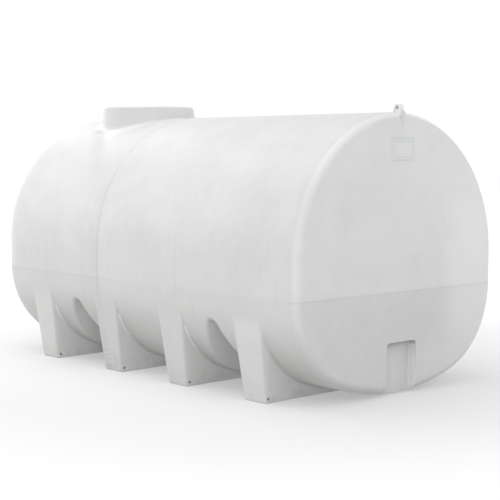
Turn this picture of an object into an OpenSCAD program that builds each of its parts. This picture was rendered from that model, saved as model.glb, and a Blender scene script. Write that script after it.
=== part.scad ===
// One-piece moulded liquid fertiliser tank lying on four saddle legs.
// Lengths in millimetres. X runs along the tank, front end at +X, near side at -Y, ground at z = 0.

/* [Barrel] */
// Length over both ends
tank_length = 3650; // [3200:10:4200]
// Width over the flanks
tank_width = 2000; // [1850:10:2150]
// Height of the crown above the ground
crown_height = 1940; // [1850:10:2100]
// Height of the parting seam, where the flanks end and the haunches begin
seam_height = 720; // [700:5:760]
// Radius of the haunches
haunch_radius = 650; // [620:5:670]
// Gap between the belly and the ground
belly_gap = 12; // [8:1:25]
// Thickness of the moulded wall
wall = 12; // [8:1:16]
// Rounding of the front end's edge
front_round = 60; // [40:5:120]
// Rounding of the rear end's edge
rear_round = 320; // [200:10:400]
// Distance of the main seam from the rear end
main_seam_from_rear = 1463; // [1430:5:1500]

/* [Legs] */
// Distance between the two rear legs
rear_pitch = 870; // [820:5:920]
// Distance between the two front legs
front_pitch = 827; // [780:1:880]
// Share of the length outside the two pairs that lies behind the first leg
rear_share = 0.339; // [0.3:0.001:0.38]
// Share of the length outside the two pairs that lies ahead of the fourth leg
front_share = 0.2576; // [0.22:0.0001:0.3]
// Length of a foot along the tank
foot_length = 210; // [160:5:260]
// Width of a foot across the tank
foot_width = 1812; // [1760:4:1840]
// Height of the ledge at the top of a leg
leg_top = 560; // [500:5:600]
// Draft of a leg's two long faces, in degrees
leg_draft = 3.6; // [1:0.1:6]
// Lean of a leg's two end faces, in degrees
leg_lean = 7.9; // [7:0.1:9]
// Diameter of the tie-down pin hole at each foot corner
pin_hole = 20; // [12:1:26]
// Depth of the tie-down pin hole
pin_depth = 30; // [20:1:60]
// Height of the pin hole's axis above the ground
pin_height = 30; // [24:1:60]
// Distance of the pin hole's axis from the end of the foot
pin_inset = 30; // [24:1:60]

/* [Surge arches] */
// Height of an arch's apex above the ground
arch_height = 520; // [420:5:560]
// Radius of an arch's apex
arch_radius = 50; // [30:5:80]
// Flare of an arch's sides from upright, in degrees
arch_flare = 22.8; // [10:0.2:24]
// Shift of an arch towards the front from the middle between its legs
arch_shift = 35; // [0:1:40]

/* [Outlet pocket] */
// Width of the pocket
pocket_width = 300; // [220:5:380]
// Height of the pocket's roof above the ground
pocket_height = 362; // [300:2:450]
// Depth of the pocket behind the front end
pocket_depth = 90; // [70:5:140]

/* [Manway] */
// Distance of the manway's axis from the rear end
manway_from_rear = 810; // [760:5:900]
// Radius of the neck's flat deck
deck_radius = 369; // [330:1:400]
// Height of the deck above the crown
deck_rise = 100; // [80:2:140]
// Slope of the neck's wall, in degrees
neck_draft = 9; // [4:0.5:14]
// Rounding of the deck's edge
deck_round = 20; // [14:1:30]
// Radius of the sump that holds the lid
sump_radius = 270; // [250:1:300]
// Depth of the sump below the deck
sump_depth = 70; // [60:1:76]
// Radius of the threaded collar
collar_radius = 215; // [190:1:225]
// Wall of the threaded collar
collar_wall = 10; // [6:1:14]
// Height of the threaded collar above the sump's floor
collar_height = 52; // [44:1:56]
// Gap between the lid's skirt and the collar
lid_gap = 3; // [1:0.5:6]
// Thickness of the lid
lid_wall = 8; // [5:1:10]
// Depth of the lid's skirt
lid_skirt = 38; // [24:1:42]
// Number of grip ribs round the lid
lid_ribs = 24; // [12:2:36]
// Depth of a grip rib
rib_depth = 8; // [4:1:12]

/* [Lifting lugs] */
// Outer radius of a lug's eye
eye_radius = 30; // [26:1:40]
// Radius of the hole through the eye
eye_hole = 12; // [8:1:18]
// Thickness of a lug
lug_thickness = 34; // [24:1:50]
// Height of the eye's hole above the crown
eye_rise = 27; // [20:1:45]
// Distance of the front eye's hole from the front end
front_eye_inset = 45; // [40:1:80]
// Distance of the rear eye's hole from the rear end
rear_eye_inset = 70; // [60:1:120]
// Length of a lug's foot
lug_foot = 100; // [80:2:140]
// How far a lug's heel reaches down the end
lug_heel = 80; // [60:2:120]

/* [Label frame and seams] */
// Width of the blank label frame
label_width = 240; // [180:5:300]
// Height of the blank label frame
label_height = 165; // [120:5:200]
// Distance of the frame's top edge below the crown
label_drop = 170; // [140:5:220]
// Width of the frame's moulded line
label_line = 14; // [8:1:20]
// Height of moulded lines and seams above the wall
line_height = 3; // [2:0.5:6]
// Width of the seams
seam_width = 8; // [5:1:14]

/* [Hidden] */
$fn = 240;

// Barrel: a half-round crown, short upright flanks, two haunches and a flatter bottom arc
half_length = tank_length / 2;
half_width = tank_width / 2;
crown_z = crown_height - half_width;
haunch_y = half_width - haunch_radius;
belly_depth = seam_height - belly_gap;
bottom_radius = (half_width * half_width + belly_depth * belly_depth - 2 * half_width * haunch_radius)
    / (2 * (belly_depth - haunch_radius));
bottom_z = belly_gap + bottom_radius;
bottom_angle = atan2(haunch_y, bottom_z - seam_height);
top_angle = 60;
main_seam_x = main_seam_from_rear - half_length;

arch_facets = 12;

free_length = tank_length - rear_pitch - front_pitch;
leg_1_x = rear_share * free_length - half_length;
leg_4_x = half_length - front_share * free_length;
leg_x = [leg_1_x, leg_1_x + rear_pitch, leg_4_x - front_pitch, leg_4_x];
bay_x = concat([-half_length], leg_x, [half_length]);
arch_x = [(leg_x[0] + leg_x[1]) / 2 + arch_shift, (leg_x[2] + leg_x[3]) / 2 + arch_shift];

manway_x = manway_from_rear - half_length;
deck_z = crown_height + deck_rise;
sump_z = deck_z - sump_depth;
lid_top_z = sump_z + collar_height + lid_wall;
lid_radius = collar_radius + lid_gap + lid_wall;

shell_colour = "whitesmoke";
leg_colour = "gainsboro";
lid_colour = "dimgray";

// A slice of a disc in the plane, its angles measured from straight down towards +x
module pie(radius, from, to) {
    reach = 1.2 * radius / cos((to - from) / 2);
    intersection() {
        circle(radius);
        polygon([[0, 0], reach * [sin(from), -cos(from)], reach * [sin(to), -cos(to)]]);
    }
}

// The barrel's section below the seam, drawn in y and z and drawn in by inset
module lower_section(inset) {
    overlap = bottom_angle / 2;
    for (side = [0, 1])
        mirror([side, 0])
            translate([haunch_y, seam_height]) pie(haunch_radius - inset, bottom_angle - overlap, 90);
    intersection() {
        translate([0, bottom_z]) pie(bottom_radius - inset, -bottom_angle, bottom_angle);
        translate([-half_width, 0]) square([tank_width, seam_height]);
    }
}

// The barrel's section above the seam
module upper_section(inset) {
    translate([inset - half_width, seam_height]) square([tank_width - 2 * inset, crown_z - seam_height]);
    translate([0, crown_z])
        intersection() {
            circle(half_width - inset);
            translate([-half_width, 0]) square([tank_width, half_width]);
        }
}

// Stands a section drawn in y and z up across the tank, from one x to another
module across(from, to) {
    translate([from, 0, 0]) rotate([90, 0, 90]) linear_extrude(height = to - from) children();
}

// Runs an outline drawn in x and z along y, the same way to both sides
module along_y(reach) {
    rotate([90, 0, 0]) linear_extrude(height = 2 * reach, center = true) children();
}

// Sweeps a strip drawn as radius and x round an axis along the tank, angles from straight down towards +y
module sweep(y, z, from, to) {
    translate([0, y, z]) rotate([0, 90, 0]) rotate([0, 0, from])
        rotate_extrude(angle = to - from) children();
}

// The wall's strip: straight from x0 to x1, then a quarter turn inwards at a rounded end
module strip(radius, x0, x1) {
    front = x1 == half_length;
    rear = x0 == -half_length;
    a = rear ? x0 + rear_round : x0;
    b = front ? x1 - front_round : x1;
    translate([radius - wall, a]) square([wall, b - a]);
    if (front) translate([radius - front_round, b]) quarter_ring(front_round);
    if (rear) translate([radius - rear_round, a]) mirror([0, 1]) quarter_ring(rear_round);
}

module quarter_ring(radius) {
    intersection() {
        difference() {
            circle(radius);
            circle(radius - wall);
        }
        square(radius);
    }
}

// A solid strip with the same rounded end, which trims what stands on the shell
module solid_strip(radius, x0, x1) {
    front = x1 == half_length;
    round = front ? front_round : rear_round;
    straight_end = front ? x1 - round : x0 + round;
    square_from(0, radius - round, x0, x1);
    square_from(0, radius, front ? x0 : straight_end, front ? straight_end : x1);
    translate([radius - round, straight_end]) circle(round);
}

module square_from(x0, x1, y0, y1) {
    translate([x0, y0]) square([x1 - x0, y1 - y0]);
}

// Ends
module end_plate(inset, front) {
    a = front ? half_length - wall : -half_length;
    across(a, a + wall) children();
}

module front_end_upper() {
    color(shell_colour) end_plate(front_round, true) upper_section(front_round);
}

module front_end_lower() {
    color(shell_colour)
        difference() {
            end_plate(front_round, true) lower_section(front_round);
            pocket_block(wall);
        }
}

module rear_end_upper() {
    color(shell_colour) end_plate(rear_round, false) upper_section(rear_round);
}

module rear_end_lower() {
    color(shell_colour) end_plate(rear_round, false) lower_section(rear_round);
}

// Crown and sides
module crown_panel(x0, x1) {
    sweep(0, crown_z, 180 - top_angle / 2, 180 + top_angle / 2) strip(half_width, x0, x1);
}

module side_panel(x0, x1, near) {
    mirror([0, near ? 1 : 0, 0]) {
        sweep(0, crown_z, 90, 180 - top_angle / 2) strip(half_width, x0, x1);
        translate([0, 0, seam_height]) linear_extrude(height = crown_z - seam_height)
            mirror([1, -1]) strip(half_width, x0, x1);
    }
}

module front_crown() {
    color(shell_colour) crown_panel(main_seam_x, half_length);
}

module front_side(near) {
    color(shell_colour) side_panel(main_seam_x, half_length, near);
}

module rear_crown() {
    color(shell_colour)
        difference() {
            crown_panel(-half_length, main_seam_x);
            neck_cone(0);
        }
}

module rear_side(near) {
    color(shell_colour) side_panel(-half_length, main_seam_x, near);
}

// Haunches and belly: bays between the leg centres, open where a leg, an arch or the pocket comes through
module bay_cut(bay) {
    color(shell_colour)
        difference() {
            children();
            for (i = [bay - 1, bay])
                if (i >= 0 && i < len(leg_x)) leg_block(leg_x[i], 0);
            if (bay == 1) arch_block(arch_x[0], wall);
            if (bay == 3) arch_block(arch_x[1], wall);
            if (bay == len(leg_x)) pocket_block(wall);
        }
}

module haunch(bay, near) {
    bay_cut(bay)
        mirror([0, near ? 1 : 0, 0])
            sweep(haunch_y, seam_height, bottom_angle, 90)
                strip(haunch_radius, bay_x[bay], bay_x[bay + 1]);
}

module belly(bay) {
    bay_cut(bay)
        sweep(0, bottom_z, -bottom_angle, bottom_angle)
            strip(bottom_radius, bay_x[bay], bay_x[bay + 1]);
}

// Legs: drafted hollow saddles with closed feet
module leg_block(x, inset) {
    z0 = inset;
    side_x = foot_length / 2 - inset / cos(leg_draft);
    side_y = foot_width / 2 - inset / cos(leg_lean);
    top = leg_top + inset;
    intersection() {
        translate([x, 0, 0]) along_y(half_width)
            polygon([
                [-side_x - z0 * tan(leg_draft), z0], [side_x + z0 * tan(leg_draft), z0],
                [side_x + top * tan(leg_draft), top], [-side_x - top * tan(leg_draft), top]
            ]);
        across(x - foot_length, x + foot_length)
            polygon([
                [-side_y - z0 * tan(leg_lean), z0], [side_y + z0 * tan(leg_lean), z0],
                [side_y + top * tan(leg_lean), top], [-side_y - top * tan(leg_lean), top]
            ]);
    }
}

module pin_place(x) {
    face_x = x + foot_length / 2 + pin_height * tan(leg_draft);
    for (side = [-1, 1])
        translate([face_x, side * (foot_width / 2 - pin_inset), pin_height])
            rotate([0, -90, 0]) children();
}

module saddle_leg(x) {
    boss = pin_hole + wall;
    color(leg_colour)
        difference() {
            union() {
                difference() {
                    leg_block(x, 0);
                    leg_block(x, wall);
                    across(x - foot_length, x + foot_length) lower_section(wall);
                }
                intersection() {
                    leg_block(x, wall / 2);
                    pin_place(x) translate([-boss, -boss, wall / 2]) cube([2 * boss, 2 * boss, pin_depth]);
                }
            }
            pin_place(x) translate([0, 0, -wall]) cylinder(h = pin_depth + wall, d = pin_hole);
        }
}

// Surge arches: tunnels moulded across the belly between the paired legs
function arch_foot(grow) =
    (arch_radius + grow) / cos(arch_flare) + (arch_height - arch_radius) * tan(arch_flare);

// Points over the rounded apex, from the front side to the rear side
function arch_bow(grow) = [
    for (i = [0 : arch_facets])
        let (a = arch_flare + i * (180 - 2 * arch_flare) / arch_facets, radius = arch_radius + grow)
            [radius * cos(a), arch_height - arch_radius + radius * sin(a)]
];

module arch_outline(grow) {
    polygon(concat([[-arch_foot(grow), 0], [arch_foot(grow), 0]], arch_bow(grow)));
}

module arch_block(x, grow) {
    translate([x, 0, 0]) along_y(half_width) arch_outline(grow);
}

// One sloping wall of an arch, on the rear side for side = -1 and on the front side for side = 1
module surge_wall(x, side) {
    reach = foot_length + arch_height;
    color(shell_colour)
        intersection() {
            translate([x, 0, 0]) mirror([side < 0 ? 1 : 0, 0, 0]) along_y(half_width)
                polygon([[arch_foot(0), 0], [arch_foot(wall), 0], arch_bow(wall)[0], arch_bow(0)[0]]);
            across(x - reach, x + reach) lower_section(0);
        }
}

// The rounded top of an arch
module surge_apex(x) {
    reach = 2 * (arch_radius + wall);
    inner = arch_bow(0);
    color(shell_colour)
        intersection() {
            translate([x, 0, 0]) along_y(half_width)
                polygon(concat(arch_bow(wall), [for (i = [arch_facets : -1 : 0]) inner[i]]));
            across(x - reach, x + reach) lower_section(0);
        }
}

// Outlet pocket: a notch let into the foot of the front end, open in front and below
module pocket_block(grow) {
    translate([half_length - pocket_depth - grow, -pocket_width / 2 - grow, 0])
        cube([2 * pocket_depth, pocket_width + 2 * grow, pocket_height + grow]);
}

module outlet_pocket() {
    trim = asin((pocket_width / 2 + 2 * wall) / (bottom_radius - front_round - pocket_height));
    color(shell_colour)
        intersection() {
            difference() {
                pocket_block(wall);
                pocket_block(0);
            }
            sweep(0, bottom_z, -trim, trim) solid_strip(bottom_radius, half_length - tank_width / 2, half_length);
        }
}

// Manway neck, deck, collar and lid
module neck_cone(inset) {
    drop = deck_rise + half_width / 2;
    top = deck_radius - inset;
    translate([manway_x, 0, deck_z - drop])
        cylinder(h = drop, r1 = top + drop * tan(neck_draft), r2 = top);
}

module manway_neck() {
    color(shell_colour)
        difference() {
            neck_cone(0);
            neck_cone(wall);
            translate([-half_length, 0, crown_z]) rotate([0, 90, 0])
                cylinder(h = tank_length, r = half_width - wall);
            translate([manway_x - half_width, -half_width, deck_z - deck_round])
                cube([tank_width, tank_width, deck_round + 1]);
        }
}

module manway_deck() {
    edge = deck_radius + deck_round * tan(neck_draft);
    fold = edge - deck_round;
    under = deck_z - deck_round;
    color(shell_colour)
        translate([manway_x, 0, 0]) rotate_extrude() {
            difference() {
                union() {
                    square_from(sump_radius, fold, under - deck_round, deck_z);
                    translate([fold, under]) circle(deck_round);
                }
                square_from(sump_radius + wall, fold, under - 2 * deck_round, deck_z - wall);
                translate([fold, under]) circle(deck_round - wall);
                square_from(sump_radius + wall, edge + 1, under - 2 * deck_round, under);
            }
            square_from(sump_radius, sump_radius + wall, sump_z - wall, deck_z - wall / 2);
            square_from(collar_radius - collar_wall, sump_radius + wall, sump_z - wall, sump_z);
        }
}

module manway_collar() {
    color(shell_colour)
        translate([manway_x, 0, sump_z]) difference() {
            cylinder(h = collar_height, r = collar_radius);
            translate([0, 0, -1]) cylinder(h = collar_height + 2, r = collar_radius - collar_wall);
        }
}

module manway_lid() {
    color(lid_colour)
        translate([manway_x, 0, 0]) {
            rotate_extrude() {
                square_from(0, lid_radius, lid_top_z - lid_wall, lid_top_z);
                square_from(lid_radius - lid_wall, lid_radius, lid_top_z - lid_skirt, lid_top_z - lid_wall);
            }
            for (i = [0 : lid_ribs - 1])
                rotate([0, 0, i * 360 / lid_ribs])
                    translate([lid_radius - 1, -rib_depth / 2, lid_top_z - lid_skirt])
                        cube([rib_depth + 1, rib_depth, lid_skirt]);
        }
}

// Lifting lugs: an eye plate on each end's shoulder with a heel down the end
module eye_bar(hole_z, radius, length) {
    translate([0, 0, hole_z]) rotate([90, 0, 0]) cylinder(h = length, r = radius, center = true);
}

module lug_plate(hole_z, foot_z, heel_z, lip) {
    web = 0.8 * eye_radius;
    difference() {
        union() {
            eye_bar(hole_z, eye_radius, lug_thickness);
            along_y(lug_thickness / 2)
                polygon([
                    [-web, hole_z], [web, hole_z], [lip, foot_z], [lip, heel_z],
                    [lip - lug_foot, heel_z], [lip - lug_foot, foot_z]
                ]);
        }
        eye_bar(hole_z, eye_hole, 2 * lug_thickness);
    }
}

module lifting_lug_front() {
    hole_z = crown_height + eye_rise;
    color(shell_colour)
        difference() {
            translate([half_length - front_eye_inset, 0, 0])
                lug_plate(hole_z, crown_height - line_height, crown_height - lug_heel, front_eye_inset + 2 * line_height);
            sweep(0, crown_z, 180 - top_angle / 2, 180 + top_angle / 2)
                solid_strip(half_width, main_seam_x, half_length);
        }
}

module lifting_lug_rear() {
    drop = rear_round - sqrt(rear_round * rear_round - pow(rear_round - rear_eye_inset, 2));
    hole_z = crown_height - drop + eye_rise;
    color(shell_colour)
        difference() {
            translate([rear_eye_inset - half_length, 0, 0]) mirror([1, 0, 0])
                lug_plate(hole_z, hole_z - eye_radius, hole_z - lug_heel, rear_eye_inset / 2);
            sweep(0, crown_z, 180 - top_angle / 2, 180 + top_angle / 2)
                solid_strip(half_width, -half_length, main_seam_x);
        }
}

// Blank label frame on the front end
module label_frame() {
    bottom = crown_height - label_drop - label_height;
    color(shell_colour)
        across(half_length, half_length + line_height)
            difference() {
                translate([-label_width / 2, bottom]) square([label_width, label_height]);
                translate([label_line - label_width / 2, bottom + label_line])
                    square([label_width - 2 * label_line, label_height - 2 * label_line]);
            }
}

// Seams: raised mould lines round the tank and over the barrel
module plan_outline(grow) {
    for (side = [-1, 1]) {
        translate([half_length - front_round, side * (half_width - front_round)]) circle(front_round + grow);
        translate([rear_round - half_length, side * (half_width - rear_round)]) circle(rear_round + grow);
    }
    square_from(rear_round - half_length, half_length - front_round, -half_width - grow, half_width + grow);
    square_from(-half_length - grow, half_length + grow, rear_round - half_width, half_width - rear_round);
    square_from(half_length - front_round, half_length + grow, front_round - half_width, half_width - front_round);
}

module parting_seam() {
    color(shell_colour)
        translate([0, 0, seam_height]) linear_extrude(height = seam_width, center = true)
            difference() {
                plan_outline(line_height);
                plan_outline(0);
            }
}

module main_seam() {
    x0 = main_seam_x - seam_width / 2;
    top = half_width + line_height;
    color(shell_colour) {
        sweep(0, crown_z, 90, 270) square_from(half_width, top, x0, x0 + seam_width);
        for (side = [0, 1])
            mirror([0, side, 0])
                translate([x0, half_width, seam_height + seam_width / 2])
                    cube([seam_width, line_height, crown_z - seam_height - seam_width / 2]);
    }
}

front_end_upper();
front_end_lower();
rear_end_upper();
rear_end_lower();
front_crown();
front_side(true);  // front_side_near
front_side(false);  // front_side_far
rear_crown();
rear_side(true);  // rear_side_near
rear_side(false);  // rear_side_far
haunch(0, true);  // haunch_near_1
haunch(1, true);  // haunch_near_2
haunch(2, true);  // haunch_near_3
haunch(3, true);  // haunch_near_4
haunch(4, true);  // haunch_near_5
haunch(0, false);  // haunch_far_1
haunch(1, false);  // haunch_far_2
haunch(2, false);  // haunch_far_3
haunch(3, false);  // haunch_far_4
haunch(4, false);  // haunch_far_5
belly(0);  // belly_1
belly(1);  // belly_2
belly(2);  // belly_3
belly(3);  // belly_4
belly(4);  // belly_5
saddle_leg(leg_x[0]);  // saddle_leg_1
saddle_leg(leg_x[1]);  // saddle_leg_2
saddle_leg(leg_x[2]);  // saddle_leg_3
saddle_leg(leg_x[3]);  // saddle_leg_4
surge_wall(arch_x[0], -1);  // surge_wall_1
surge_wall(arch_x[0], 1);  // surge_wall_2
surge_apex(arch_x[0]);  // surge_apex_rear
surge_wall(arch_x[1], -1);  // surge_wall_3
surge_wall(arch_x[1], 1);  // surge_wall_4
surge_apex(arch_x[1]);  // surge_apex_front
outlet_pocket();
manway_neck();
manway_deck();
manway_collar();
manway_lid();
lifting_lug_front();
lifting_lug_rear();
label_frame();
parting_seam();
main_seam();
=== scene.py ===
import math
import bpy
import bmesh
import numpy as np
from mathutils import Matrix, Vector


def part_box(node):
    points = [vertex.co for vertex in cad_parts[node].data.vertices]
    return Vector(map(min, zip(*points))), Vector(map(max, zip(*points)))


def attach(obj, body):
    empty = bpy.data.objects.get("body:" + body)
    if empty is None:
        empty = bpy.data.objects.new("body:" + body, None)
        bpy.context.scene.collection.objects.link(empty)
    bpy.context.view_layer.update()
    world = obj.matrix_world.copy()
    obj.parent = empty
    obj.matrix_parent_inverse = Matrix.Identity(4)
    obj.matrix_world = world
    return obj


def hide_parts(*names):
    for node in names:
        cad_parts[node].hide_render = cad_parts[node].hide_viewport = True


# Moulded liquid fertiliser tank: one white skin on four hollow legs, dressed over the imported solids.
# Metres. X runs along the tank, front end at +X, near side at -Y, ground at z = 0.

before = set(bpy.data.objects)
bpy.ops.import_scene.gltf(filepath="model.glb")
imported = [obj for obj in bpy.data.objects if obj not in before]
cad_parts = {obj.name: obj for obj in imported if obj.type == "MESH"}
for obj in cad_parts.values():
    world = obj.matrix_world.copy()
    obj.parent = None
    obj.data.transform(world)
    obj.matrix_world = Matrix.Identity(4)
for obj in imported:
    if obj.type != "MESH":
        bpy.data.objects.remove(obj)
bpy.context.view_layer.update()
scene = bpy.context.scene


def low(node):
    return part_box(node)[0]


def high(node):
    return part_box(node)[1]


def middleX(node):
    return (low(node).x + high(node).x) / 2


# what the solids already say is read from them
tank = {
    "halfLength": high("front_end_upper").x,
    "halfWidth": high("front_side_far").y,
    "crown": high("front_crown").z,
    "seam": high("front_end_lower").z,
    "belly": low("belly_3").z,
    "haunch": 0.65,
    "rearRound": high("rear_side_far").y - high("rear_end_upper").y,
    "mainSeam": high("rear_crown").x,
    "wall": high("front_end_upper").x - low("front_end_upper").x,
    "seamWidth": 0.009,
    "seamHeight": 0.003,
    "seamFoot": 0.40,       # the main seam's bead fades in from here
    "seamFade": 0.25,
}
tank["rearStart"] = tank["rearRound"] - tank["halfLength"]
tank["crownAxis"] = tank["crown"] - tank["halfWidth"]
tank["haunchY"] = tank["halfWidth"] - tank["haunch"]
tank["drop"] = tank["seam"] - tank["belly"]
# the belly's arc meets both haunches without a kink
tank["bottom"] = ((tank["haunchY"] ** 2 + tank["drop"] ** 2 - tank["haunch"] ** 2)
                  / (2 * (tank["drop"] - tank["haunch"])))
tank["bottomAxis"] = tank["belly"] + tank["bottom"]
tank["bottomAngle"] = math.atan2(tank["haunchY"], tank["bottomAxis"] - tank["seam"])

legs = {
    "places": [middleX("saddle_leg_%d" % i) for i in (1, 2, 3, 4)],
    "halfFoot": 0.105,
    "draft": math.radians(3.6),
    "reach": 0.906,
    "lean": math.radians(7.9),
    "top": high("saddle_leg_1").z + 0.10,       # the faces run on until they lie in the side
    "edge": 0.017,      # upright edges
    "sole": 0.008,      # edge round the foot
    "ground": 0.003,    # edge where the ground cuts off anything lower
    "fillet": 0.016,    # long faces into the belly
    "blend": 0.003,     # end faces into the haunch
    "blendFrom": 0.84,  # one fillet runs into the other between the faces and the ends
    "blendOver": 0.12,
    "bandFoot": high("saddle_leg_1").z,
    "weldTop": 0.46,
    "bandTop": 1.20,    # a faint raised band runs up the side over each leg
    "bandHeight": 0.0026,
    "bandEdge": 0.010,
    "bandFootFade": 0.1,
    "bandTopFade": 0.2,
}
arches = {
    "places": [middleX("surge_apex_rear"), middleX("surge_apex_front")],
    "radius": 0.05,
    "top": 0.52,
    "flare": math.radians(22.8),
    "lip": 0.022,
}


# rounded joins of two distances, negative inside: a union with a fillet and an overlap with a rounded edge
def joinRound(a, b, radius):
    corner = np.hypot(np.maximum(radius - a, 0), np.maximum(radius - b, 0))
    return np.maximum(radius, np.minimum(a, b)) - corner


def overlapRound(a, b, radius):
    corner = np.hypot(np.maximum(radius + a, 0), np.maximum(radius + b, 0))
    return np.minimum(-radius, np.maximum(a, b)) + corner


def barrelDistance(y, z):
    # a round crown over upright flanks, with arcs for the haunches and the belly
    side = np.abs(y)
    crown = np.hypot(y, z - tank["crownAxis"]) - tank["halfWidth"]
    flank = side - tank["halfWidth"]
    haunch = np.hypot(side - tank["haunchY"], z - tank["seam"]) - tank["haunch"]
    bottom = np.hypot(y, z - tank["bottomAxis"]) - tank["bottom"]
    onBottom = np.arctan2(side, tank["bottomAxis"] - z) < tank["bottomAngle"]
    under = np.where(onBottom, bottom, haunch)
    return np.where(z > tank["crownAxis"], crown, np.where(z > tank["seam"], flank, under))


def legHalfAt(z):
    return legs["halfFoot"] + z * math.tan(legs["draft"])


def legReachAt(z):
    return legs["reach"] + z * math.tan(legs["lean"])


def legDistance(x, y, z):
    # a block that widens upwards, with rounded edges
    long = (np.abs(x) - legHalfAt(z)) * math.cos(legs["draft"])
    end = (np.abs(y) - legReachAt(z)) * math.cos(legs["lean"])
    block = overlapRound(long, end, legs["edge"])
    block = overlapRound(block, z - legs["top"], legs["edge"])
    return overlapRound(block, -z, legs["sole"])


def archDistance(x, z):
    # a round top over straight sides that flare downwards
    across = np.abs(x)
    up = z - arches["top"] + arches["radius"]
    slope = across * math.cos(arches["flare"]) + up * math.sin(arches["flare"])
    onBow = up * math.cos(arches["flare"]) > across * math.sin(arches["flare"])
    return np.where(onBow, np.hypot(across, up), slope) - arches["radius"]


def bodyDistance(x, y, z):
    body = barrelDistance(y, z)
    outwards = np.clip((np.abs(y) - legs["blendFrom"]) / legs["blendOver"], 0, 1)
    fillet = legs["fillet"] + (legs["blend"] - legs["fillet"]) * outwards
    for place in legs["places"]:
        body = joinRound(body, legDistance(x - place, y, z), fillet)
    for place in arches["places"]:
        body = overlapRound(body, -archDistance(x - place, z), arches["lip"])
    return overlapRound(body, -z, legs["ground"])


# helpers for every piece

def runs(start, *parts):
    # evenly spaced stops through each (end, steps)
    stops = [start]
    for end, steps in parts:
        begin = stops[-1]
        stops += [begin + (end - begin) * (i + 1) / steps for i in range(steps)]
    return stops


def smoothFaces(bm, sharpAngle):
    for face in bm.faces:
        face.smooth = True
    for edge in bm.edges:
        edge.smooth = len(edge.link_faces) == 2 and edge.calc_face_angle(0) < math.radians(sharpAngle)


def roundEdges(bm, edges, width, segments, clamp=False):
    bmesh.ops.bevel(bm, geom=edges, offset=width, offset_type="OFFSET", segments=segments, profile=0.5,
                    affect="EDGES", material=-1, clamp_overlap=clamp)


def finishPiece(bm, name, sharpAngle=40):
    # merges doubles, turns the faces outwards and puts the mesh into the scene
    bmesh.ops.remove_doubles(bm, verts=bm.verts, dist=0.00001)
    bmesh.ops.recalc_face_normals(bm, faces=bm.faces)
    smoothFaces(bm, sharpAngle)
    mesh = bpy.data.meshes.new(name)
    bm.to_mesh(mesh)
    bm.free()
    piece = bpy.data.objects.new(name, mesh)
    scene.collection.objects.link(piece)
    return piece


def addDrill(bm, radius, depth, segments, place):
    bmesh.ops.create_cone(bm, cap_ends=True, segments=segments, radius1=radius, radius2=radius, depth=depth,
                          matrix=place)


def cutAway(piece, cutter):
    cut = piece.modifiers.new("cut", "BOOLEAN")
    cut.object = cutter
    cut.operation = "DIFFERENCE"
    cut.solver = "EXACT"
    bpy.context.view_layer.update()
    solved = piece.evaluated_get(bpy.context.evaluated_depsgraph_get())
    mesh = bpy.data.meshes.new_from_object(solved)
    piece.modifiers.clear()
    piece.data = mesh
    bpy.data.objects.remove(cutter)


def wrapGrid(rows, columns, place):
    # a flat grid whose points are moved on to place(rows, columns), an array of positions
    bm = bmesh.new()
    bmesh.ops.create_grid(bm, x_segments=rows - 1, y_segments=columns - 1, size=1)
    bm.verts.ensure_lookup_table()
    for vert in bm.verts:
        row = round((vert.co.x + 1) / 2 * (rows - 1))
        column = round((vert.co.y + 1) / 2 * (columns - 1))
        vert.co = place[row, column]
    return bm


def turn(profile, x, steps):
    # spins a profile of (radius, z) round an upright axis over the tank's middle line
    bm = bmesh.new()
    verts = [bm.verts.new((x + r, 0, z)) for r, z in profile]
    edges = [bm.edges.new(pair) for pair in zip(verts, verts[1:])]
    bmesh.ops.spin(bm, geom=verts + edges, cent=(x, 0, 0), axis=(0, 0, 1), angle=math.tau, steps=steps,
                   use_merge=True)
    return bm


def bend(centreR, centreZ, radius, start, end, steps):
    # points on an arc in a turned profile, angles in degrees from outwards
    angles = [math.radians(start + (end - start) * i / steps) for i in range(steps + 1)]
    return [(centreR + radius * math.cos(a), centreZ + radius * math.sin(a)) for a in angles]


# skin: a grid wrapped round the barrel, then pushed out to the legs and in to the arches
skin = {
    "bottomSteps": 10,
    # up the haunch: an angle to reach and the steps to it, closer where the legs and arches meet it
    "haunchRuns": [(33, 7), (36, 4), (40, 10), (44, 5), (64, 12), (78, 16), (89, 6), (89.7, 2), (90, 1)],
    "justAbove": [0.004, 0.012],    # lines over the level seam
    "flankSteps": 3,
    "crownSteps": 30,
    # on both sides of a leg's middle, closer where its face leaves the belly
    "legLines": [0, 0.035, 0.065, 0.084, 0.090, 0.094, 0.097, 0.0995, 0.102, 0.1045, 0.1075, 0.1105,
                 0.1135, 0.1165, 0.1195, 0.1225, 0.1255, 0.1285, 0.1315, 0.135, 0.139, 0.144, 0.151,
                 0.160, 0.172, 0.19],
    "archReach": 0.28,
    "archStep": 0.008,
    "mainSeamLines": [-1.5, -1, -0.5, 0, 0.5, 1, 1.5],      # in widths of the seam, with nothing close beside
    "mainSeamClear": 1.8,
    "widest": 0.11,
    "narrowest": 0.0022,
    "frontRoll": 10,
    "frontRound": 0.072,
    "rearRoll": 14,
    "seamGap": 0.02,
    "outermost": 0.34,      # the surface is looked for between these, outwards from the plain barrel
    "innermost": -0.57,
    "searchStep": 0.01,
    "halvings": 16,
    "capInset": 0.03,
    "sharpAngle": 35,
}


def arc(centreY, centreZ, radius, angles):
    # y, z and the outward direction along an arc, at angles in degrees from straight down
    directions = [(math.sin(math.radians(a)), -math.cos(math.radians(a))) for a in angles]
    return [(centreY + radius * ny, centreZ + radius * nz, ny, nz) for ny, nz in directions]


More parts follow.
